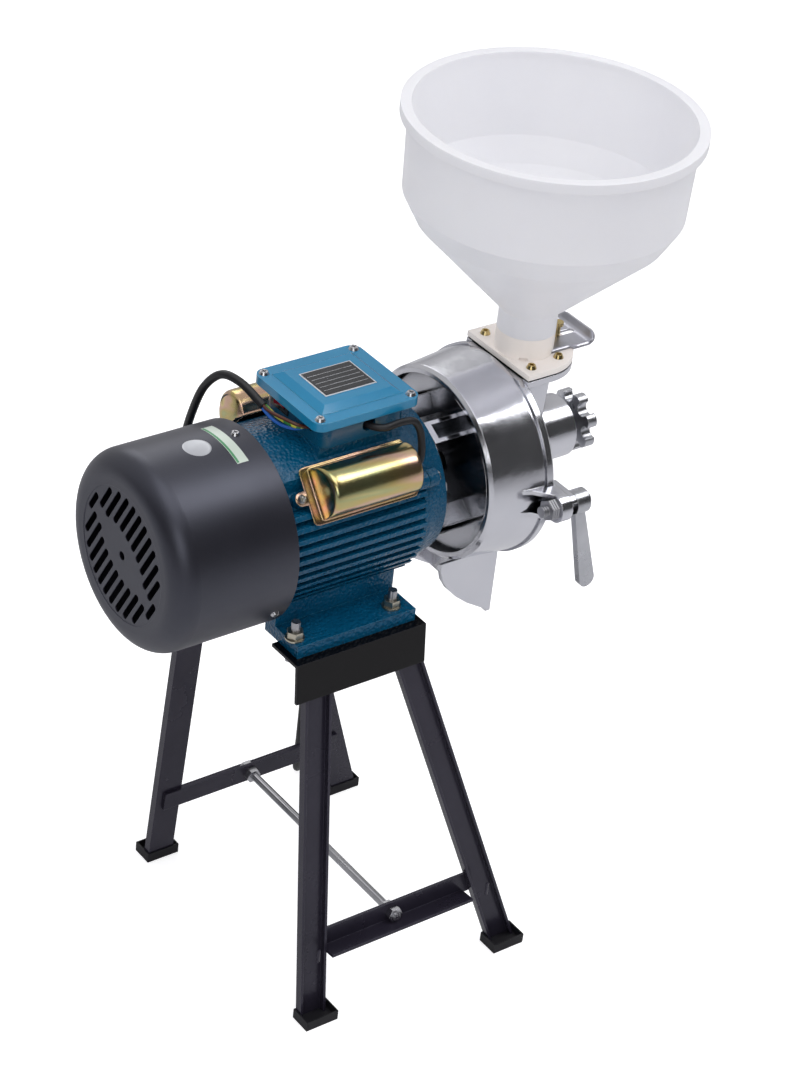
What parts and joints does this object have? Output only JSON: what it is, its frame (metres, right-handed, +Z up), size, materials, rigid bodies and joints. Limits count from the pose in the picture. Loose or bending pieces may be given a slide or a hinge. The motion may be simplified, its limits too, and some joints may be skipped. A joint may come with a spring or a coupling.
{
  "type": "electric grain mill",
  "caption": "Electric grain mill: finned motor with a fan cover, junction box and capacitors on a splayed four-legged stand, disc mill head, hopper, clamp lever and mains cord.",
  "frame": {"origin": "on the floor, at the middle of the box round the mill without its free cord", "axes": "+X along the shaft from the fan cover to the star knob, +Y to the far side from the clamp lever, +Z up"},
  "size_m": [0.569, 0.524, 0.7859],
  "materials": {
    "stand_paint": "gloss black paint",
    "foot_plastic": "moulded",
    "zinc_steel": "zinc plated",
    "motor_paint": "blue hammer paint",
    "lid_paint": "smooth blue paint",
    "cover_paint": "satin charcoal paint",
    "lamination": "varnished sheet stack",
    "copper": "enamelled copper winding",
    "bearing_steel": "ground",
    "fan_plastic": "moulded",
    "gasket_rubber": "soft",
    "switch_black": "gloss",
    "rocker_red": "gloss red",
    "terminal_cream": "moulded",
    "can_black": "sleeved can",
    "yellow_zinc": "yellow passivated zinc with a rainbow sheen",
    "cord_rubber": "satin sheath",
    "cast_aluminium": "polished casting",
    "cast_iron_burr": "as cast",
    "machined_steel": "turned",
    "thrust_bronze": "turned",
    "knob_cast": "tumbled and plated",
    "cream_plastic": "moulded",
    "hopper_plastic": "translucent natural polyethylene",
    "gate_steel": "bare sheet",
    "core_wires": "insulated cores"
  },
  "bodies": {
    "frame": {"rail_near": "stand_paint", "rail_far": "stand_paint", "leg_near_rear": "stand_paint", "leg_near_front": "stand_paint", "leg_far_rear": "stand_paint", "leg_far_front": "stand_paint", "brace_near": "stand_paint", "brace_far": "stand_paint", "foot_caps": "foot_plastic", "tie_rod": "zinc_steel", "tie_nuts": "zinc_steel", "motor_bolts": "zinc_steel", "motor_nuts": "yellow_zinc", "motor_frame": "motor_paint", "stator": "lamination", "windings": "copper", "rear_shield": "motor_paint", "front_shield": "motor_paint", "shield_bolts": "zinc_steel", "bearings": "bearing_steel", "fan_cover": "cover_paint", "fan_cover_screws": "zinc_steel", "junction_box": "motor_paint", "lid_gasket": "gasket_rubber", "box_lid": "lid_paint", "lid_screws": "zinc_steel", "switch_body": "switch_black", "terminal_block": "terminal_cream", "capacitors": "can_black", "capacitor_cover_near": "yellow_zinc", "capacitor_cover_far": "yellow_zinc", "capacitor_screws": "zinc_steel", "capacitor_lead": "cord_rubber", "mill_housing": "cast_aluminium", "housing_bolts": "zinc_steel", "front_cover": "cast_aluminium", "fixed_burr": "cast_iron_burr", "clamp_bolt": "zinc_steel", "throat_gasket": "gasket_rubber", "hopper_plate": "cream_plastic", "plate_screws": "yellow_zinc", "mains_wires": "core_wires", "mains_sheath": "cord_rubber", "cord_coil": "cord_rubber", "plug_body": "cord_rubber", "plug_pins": "bearing_steel"},
    "rotor": {"shaft": "machined_steel", "rotor_core": "lamination", "fan": "fan_plastic", "rotating_burr": "cast_iron_burr", "feed_screw": "cast_iron_burr"},
    "thrust": {"thrust_pad": "thrust_bronze"},
    "knob": {"adjust_screw": "machined_steel", "star_knob": "knob_cast"},
    "gate": {"feed_gate": "gate_steel"},
    "hopper": {"hopper": "hopper_plastic"},
    "clamp": {"clamp_lever": "knob_cast"},
    "rocker": {"switch_rocker": "rocker_red"}
  },
  "joints": [
    {"name": "rotor_spin", "type": "hinge", "parent": "frame", "child": "rotor", "pos_m": [-0.013, 0, 0.468], "axis": [1, 0, 0], "continuous": true},
    {"name": "adjust_travel", "type": "slide", "parent": "frame", "child": "thrust", "axis": [1, 0, 0], "range_m": [-0.0015, 0.00075]},
    {"name": "adjust_turn", "type": "hinge", "parent": "thrust", "child": "knob", "pos_m": [-0.013, 0, 0.468], "axis": [1, 0, 0], "range_deg": [-360, 180]},
    {"name": "gate_slide", "type": "slide", "parent": "frame", "child": "gate", "axis": [1, 0, 0], "range_m": [-0.014, 0.01]},
    {"name": "hopper_lift", "type": "slide", "parent": "frame", "child": "hopper", "axis": [0, 0, 1], "range_m": [0, 0.06]},
    {"name": "clamp_turn", "type": "hinge", "parent": "frame", "child": "clamp", "pos_m": [-0.013, -0.109, 0.468], "axis": [1, 0, 0], "range_deg": [-150, 30]},
    {"name": "rocker_tip", "type": "hinge", "parent": "frame", "child": "rocker", "pos_m": [-0.1, 0.02, 0.561], "axis": [0, 0, 1], "range_deg": [-14, 0]}
  ],
  "couplings": [
    {"joint": "adjust_travel", "follows": "adjust_turn", "m_per_rad": 0.000238}
  ]
}
